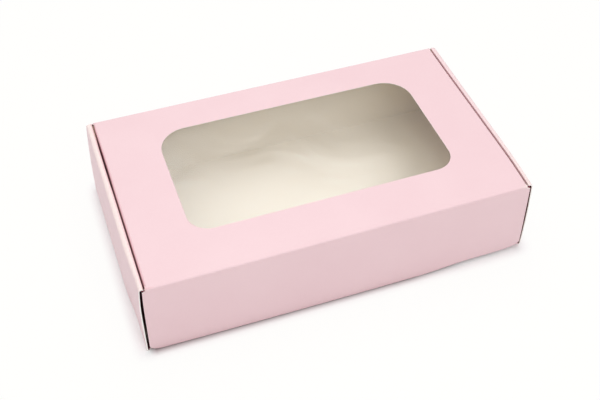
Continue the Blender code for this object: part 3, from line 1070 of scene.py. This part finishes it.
WORLD_LIGHT = 1.3
WORLD_LOW_SHARE = 0.30
WORLD_LOW_HEIGHT = 0.58
WORLD_HIGH_HEIGHT = 0.80

# Name, place, width, depth and power of each softbox, all aimed at the box
SOFTBOXES = [
    ("overhead_softbox", (-0.05, 0.12, 1.1), 0.8, 0.8, 1.4),
    ("back_softbox", (0.17, 0.77, 1.06), 0.6, 0.34, 1.1),
    ("front_softbox", (0.0, -1.0, 1.0), 0.8, 0.4, 2.9),
]
LIGHT_AIM = (0, 0, 0.05)

CAMERA_PLACE = (-0.15677, -0.43488, 0.49779)
CAMERA_YAW = math.radians(19.508)
CAMERA_PITCH = math.radians(46.199)
SENSOR_WIDTH = 36
FOCAL_PIXELS = 997.4
PICTURE_PIXELS = 600


def background_rays(tree):
    """1 for rays from the camera, also where a glossy or a clear surface sends them on."""
    rays = tree.nodes.new("ShaderNodeLightPath").outputs
    seen = maths(tree, "MAXIMUM", rays["Is Camera Ray"], rays["Is Glossy Ray"])
    return maths(tree, "MAXIMUM", seen, rays["Is Transmission Ray"])


def flap_shade(tree, place):
    """1 on the paper along the foot of the front flap, fading out at its right."""
    x, y = place.outputs["X"], place.outputs["Y"]
    close = ramp(tree, y, FRONT - FLAP_SHADE_REACH, FRONT + FLAP_SHADE_UNDER)
    behind_start, behind_end = FLAP_SHADE_BEHIND
    ahead = ramp(tree, y, FRONT + behind_start, FRONT + behind_end, 1.0, 0.0)
    from_left = ramp(tree, x, -HALF_WIDTH, FLAP_SHADE_LEFT - HALF_WIDTH)
    from_right = ramp(tree, x, *FLAP_SHADE_RIGHT, 1.0, 0.0)
    return product(tree, product(tree, close, ahead), product(tree, from_left, from_right))


def burnt_out(tree, where):
    """How white the paper is burnt, rising with the distance from the box's foot."""
    centred = vector_maths(tree, "ADD", where, (FOOT_SHIFT, 0, 0))
    size = vector_maths(tree, "ABSOLUTE", centred)
    past = vector_maths(tree, "SUBTRACT", size, (HALF_WIDTH + FOOT_MARGIN, BACK, 0))
    distance = vector_maths(tree, "LENGTH", vector_maths(tree, "MAXIMUM", past))
    burnt = add(tree, "ShaderNodeMapRange", interpolation_type="SMOOTHSTEP")
    burnt.inputs["From Min"].default_value = BURNT_START
    burnt.inputs["From Max"].default_value = BURNT_END
    burnt.inputs["To Max"].default_value = BURNT_SHARE
    tree.links.new(distance, burnt.inputs["Value"])
    return burnt.outputs["Result"]


def make_floor():
    """White paper. Where it is seen, it is nearly burnt out, but for a narrow shade at the box."""
    corners = [(-1, -1), (1, -1), (1, 1), (-1, 1)]
    floor_mesh = bpy.data.meshes.new("floor")
    floor_mesh.from_pydata(
        [(x * FLOOR_HALF, y * FLOOR_HALF, 0) for x, y in corners], [], [(0, 1, 2, 3)]
    )
    floor = bpy.data.objects.new("floor", floor_mesh)
    bpy.context.scene.collection.objects.link(floor)
    material, tree, shader = new_material("paper_floor")
    shader.inputs["Roughness"].default_value = 1
    shader.inputs["Specular IOR Level"].default_value = 0

    where = tree.nodes.new("ShaderNodeTexCoord").outputs["Object"]
    place = add(tree, "ShaderNodeSeparateXYZ")
    tree.links.new(where, place.inputs[0])
    colour = mix_colour(tree, flap_shade(tree, place), PAPER, FLAP_SHADE)
    tree.links.new(colour, shader.inputs["Base Color"])
    glow = add(tree, "ShaderNodeEmission", Color=PAPER_GLOW, Strength=1.0)
    both = tree.nodes.new("ShaderNodeMixShader")
    tree.links.new(product(tree, background_rays(tree), burnt_out(tree, where)), both.inputs[0])
    tree.links.new(shader.outputs[0], both.inputs[1])
    tree.links.new(glow.outputs[0], both.inputs[2])
    tree.links.new(both.outputs[0], tree.nodes["Material Output"].inputs["Surface"])
    floor_mesh.materials.append(material)


def make_world():
    """A studio that is brightest overhead, and plain white where it is seen."""
    world = bpy.data.worlds.new("studio")
    world.use_nodes = True
    tree = world.node_tree
    upward = add(tree, "ShaderNodeSeparateXYZ")
    tree.links.new(tree.nodes.new("ShaderNodeTexCoord").outputs["Generated"], upward.inputs[0])
    light = ramp(
        tree, upward.outputs["Z"], WORLD_LOW_HEIGHT, WORLD_HIGH_HEIGHT,
        WORLD_LOW_SHARE * WORLD_LIGHT, WORLD_LIGHT,
    )
    pick = add(tree, "ShaderNodeMix", data_type="FLOAT")
    tree.links.new(background_rays(tree), pick.inputs[0])
    tree.links.new(light, pick.inputs[2])
    pick.inputs[3].default_value = 1.0
    tree.links.new(pick.outputs[0], tree.nodes["Background"].inputs["Strength"])
    tree.nodes["Background"].inputs["Color"].default_value = (1, 1, 1, 1)
    bpy.context.scene.world = world


def softbox(name, place, width, depth, power):
    lamp = bpy.data.lights.new(name, "AREA")
    lamp.shape = "RECTANGLE"
    lamp.size, lamp.size_y = width, depth
    lamp.energy = power
    box = bpy.data.objects.new(name, lamp)
    box.location = place
    box.rotation_mode = "QUATERNION"
    box.rotation_quaternion = (Vector(LIGHT_AIM) - box.location).to_track_quat("-Z", "Y")
    bpy.context.scene.collection.objects.link(box)


def make_stage():
    make_floor()
    make_world()
    for settings in SOFTBOXES:
        softbox(*settings)


def make_camera():
    """The photograph's viewpoint, as fitted to the edges of the box."""
    forward = Vector((
        math.sin(CAMERA_YAW) * math.cos(CAMERA_PITCH),
        math.cos(CAMERA_YAW) * math.cos(CAMERA_PITCH),
        -math.sin(CAMERA_PITCH),
    ))
    lens = bpy.data.cameras.new("camera")
    lens.sensor_width = SENSOR_WIDTH
    lens.lens = FOCAL_PIXELS / PICTURE_PIXELS * SENSOR_WIDTH
    camera = bpy.data.objects.new("camera", lens)
    camera.location = CAMERA_PLACE
    camera.rotation_mode = "QUATERNION"
    camera.rotation_quaternion = forward.to_track_quat("-Z", "Y")
    bpy.context.scene.collection.objects.link(camera)
    bpy.context.scene.camera = camera


make_tray()
make_lid()
make_stage()
make_camera()
bpy.context.scene.view_settings.view_transform = "Standard"
